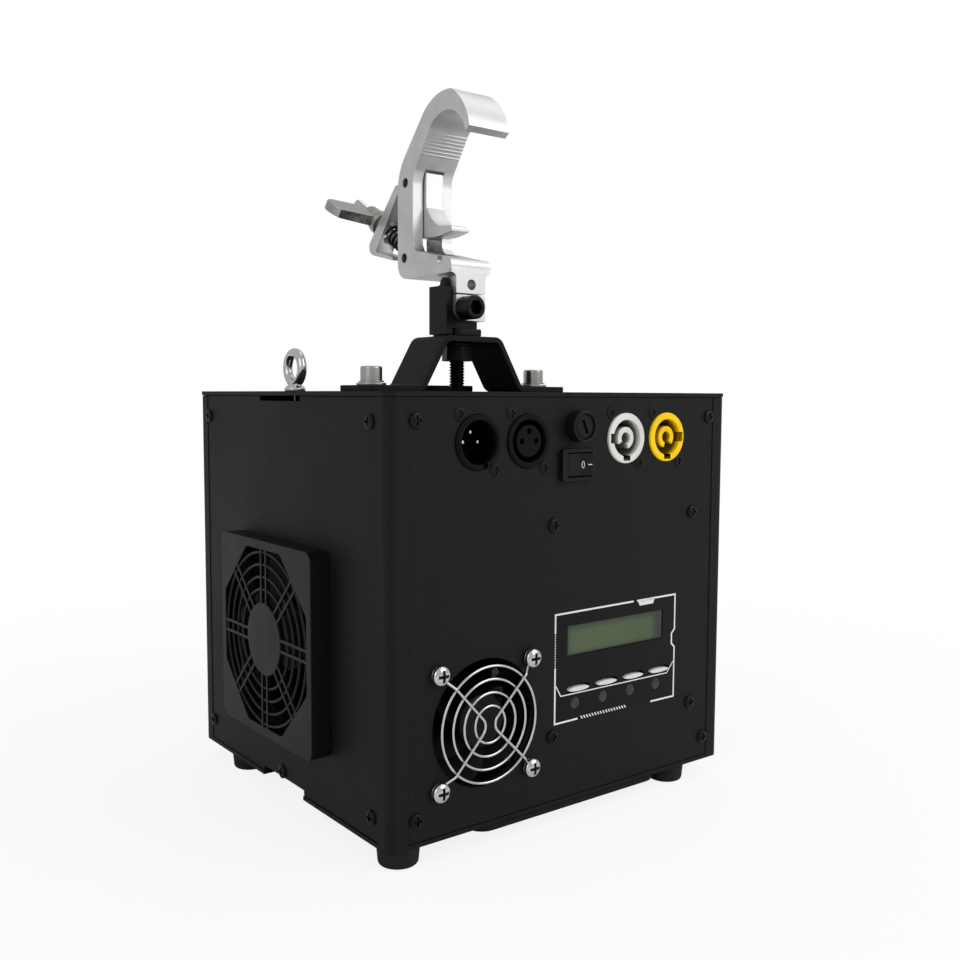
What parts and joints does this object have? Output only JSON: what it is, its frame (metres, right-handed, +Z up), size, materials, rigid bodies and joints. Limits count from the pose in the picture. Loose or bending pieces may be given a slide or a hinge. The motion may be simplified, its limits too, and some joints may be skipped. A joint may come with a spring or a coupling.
{
  "type": "spark effect machine",
  "caption": "Black cube-shaped cold spark machine with fans, display and sockets, hung by a swivelling aluminium hook clamp.",
  "frame": {"origin": "on the ground under the middle of the whole machine, at the feet's underside", "axes": "+Z up to the clamp, +X along the connector panel towards the power sockets, -Y towards the viewer of that panel"},
  "size_m": [0.214, 0.201, 0.3494],
  "materials": {
    "powder_coat": "fine textured black powder coat",
    "black_plastic": "satin",
    "black_steel": "satin black",
    "rubber": "matte",
    "aluminium": "satin blasted",
    "bright_steel": "polished",
    "zinc_steel": "zinc plated",
    "white_plastic": "satin",
    "yellow_plastic": "satin",
    "display_glass": "gloss",
    "lamp_plastic": "gloss",
    "board": "satin",
    "copper": "drawn wire",
    "cast_iron": "cast",
    "stainless": "brushed"
  },
  "bodies": {
    "machine": {"chassis_frame": "powder_coat", "top_plate": "powder_coat", "front_panel": "powder_coat", "rear_panel": "powder_coat", "left_panel": "powder_coat", "right_panel": "powder_coat", "discharge_plate": "powder_coat", "hanging_strap": "powder_coat", "foot_front_left": "rubber", "foot_front_right": "rubber", "foot_rear_left": "rubber", "foot_rear_right": "rubber", "dmx_in_socket": "black_plastic", "dmx_out_socket": "black_plastic", "fuse_holder": "black_plastic", "switch_body": "black_plastic", "front_fan_frame": "black_plastic", "side_fan_frame": "black_plastic", "side_fan_guard": "black_plastic", "blower_housing": "black_plastic", "power_out_socket": "white_plastic", "power_in_socket": "yellow_plastic", "display_module": "display_glass", "indicator_strip": "lamp_plastic", "control_board": "board", "front_fan_guard": "bright_steel", "safety_eye_bolt": "bright_steel", "hopper": "stainless", "feed_tube": "stainless", "nozzle": "stainless", "feed_motor": "zinc_steel", "power_supply": "zinc_steel", "strap_bolt_left": "zinc_steel", "strap_bolt_right": "zinc_steel", "heating_chamber": "cast_iron", "heating_coil": "copper"},
    "front_fan_wheel": {"front_fan_rotor": "black_plastic"},
    "side_fan_wheel": {"side_fan_rotor": "black_plastic"},
    "blower_rotor": {"blower_wheel": "black_plastic"},
    "feed_screw_body": {"feed_screw": "bright_steel"},
    "rocker": {"switch_rocker": "black_plastic"},
    "menu_key": {"menu_button": "white_plastic"},
    "up_key": {"up_button": "white_plastic"},
    "down_key": {"down_button": "white_plastic"},
    "enter_key": {"enter_button": "white_plastic"},
    "fuse_cap_body": {"fuse_cap": "black_plastic"},
    "lid": {"hopper_lid": "powder_coat"},
    "swivel": {"swivel_bolt": "black_steel", "swivel_nut": "black_steel", "swivel_yoke": "black_steel", "yoke_bolt": "black_steel", "clamp_body": "aluminium", "jaw_pin": "black_steel", "stud_pin": "black_steel"},
    "jaw": {"clamp_jaw": "aluminium", "trigger_plate": "aluminium"},
    "stud": {"swing_stud": "zinc_steel", "clamp_spring": "black_steel"},
    "washer": {"stud_washer": "zinc_steel"},
    "nut": {"wing_nut": "zinc_steel"}
  },
  "joints": [
    {"name": "front_fan_spin", "type": "hinge", "parent": "machine", "child": "front_fan_wheel", "pos_m": [-0.04777, -0.09313, 0.0555], "axis": [0, 1, 0], "continuous": true},
    {"name": "side_fan_spin", "type": "hinge", "parent": "machine", "child": "side_fan_wheel", "pos_m": [-0.09538, -0.00108, 0.0825], "axis": [1, 0, 0], "continuous": true},
    {"name": "blower_spin", "type": "hinge", "parent": "machine", "child": "blower_rotor", "pos_m": [0.05462, -0.00148, 0.06106], "axis": [1, 0, 0], "continuous": true},
    {"name": "feed_screw_spin", "type": "hinge", "parent": "machine", "child": "feed_screw_body", "pos_m": [0.00462, -0.00148, 0.1194], "axis": [0, 1, 0], "continuous": true},
    {"name": "power_rocker", "type": "hinge", "parent": "machine", "child": "rocker", "pos_m": [0.00343, -0.09578, 0.1656], "axis": [0, 0, 1], "range_deg": [0, 13.75]},
    {"name": "menu_press", "type": "slide", "parent": "machine", "child": "menu_key", "axis": [0, 1, 0], "range_m": [0, 0.001], "stiffness_N_per_m": 300, "springref_m": -0.0005},
    {"name": "up_press", "type": "slide", "parent": "machine", "child": "up_key", "axis": [0, 1, 0], "range_m": [0, 0.001], "stiffness_N_per_m": 300, "springref_m": -0.0005},
    {"name": "down_press", "type": "slide", "parent": "machine", "child": "down_key", "axis": [0, 1, 0], "range_m": [0, 0.001], "stiffness_N_per_m": 300, "springref_m": -0.0005},
    {"name": "enter_press", "type": "slide", "parent": "machine", "child": "enter_key", "axis": [0, 1, 0], "range_m": [0, 0.001], "stiffness_N_per_m": 300, "springref_m": -0.0005},
    {"name": "fuse_cap_turn", "type": "hinge", "parent": "machine", "child": "fuse_cap_body", "pos_m": [0.00363, -0.09498, 0.183], "axis": [0, -1, 0], "range_deg": [0, 90]},
    {"name": "lid_hinge", "type": "hinge", "parent": "machine", "child": "lid", "pos_m": [0.00462, 0.05682, 0.20035], "axis": [-1, 0, 0], "range_deg": [0, 95]},
    {"name": "clamp_swivel", "type": "hinge", "parent": "machine", "child": "swivel", "pos_m": [0.00462, -0.00148, 0.227], "axis": [0, 0, 1], "continuous": true},
    {"name": "jaw_turn", "type": "hinge", "parent": "swivel", "child": "jaw", "pos_m": [0.00462, 0.02842, 0.3092], "axis": [1, 0, 0], "range_deg": [-7, 10]},
    {"name": "stud_swing", "type": "hinge", "parent": "swivel", "child": "stud", "pos_m": [0.00462, 0.02952, 0.2699], "axis": [1, 0, 0], "range_deg": [-4, 6]},
    {"name": "washer_slide", "type": "slide", "parent": "stud", "child": "washer", "axis": [0, 0.866, 0.5], "range_m": [-0.004, 0.006], "deforming": ["clamp_spring"]},
    {"name": "nut_spin", "type": "hinge", "parent": "washer", "child": "nut", "pos_m": [0.00462, 0.02952, 0.2699], "axis": [0, 0.866, 0.5], "range_deg": [-1080, 1800]}
  ],
  "couplings": [
    {"joint": "washer_slide", "follows": "nut_spin", "m_per_rad": 0.00015915},
    {"joint": "jaw_turn", "follows": "nut_spin", "ratio": 0.0046266},
    {"joint": "stud_swing", "follows": "nut_spin", "ratio": 0.0024521}
  ]
}
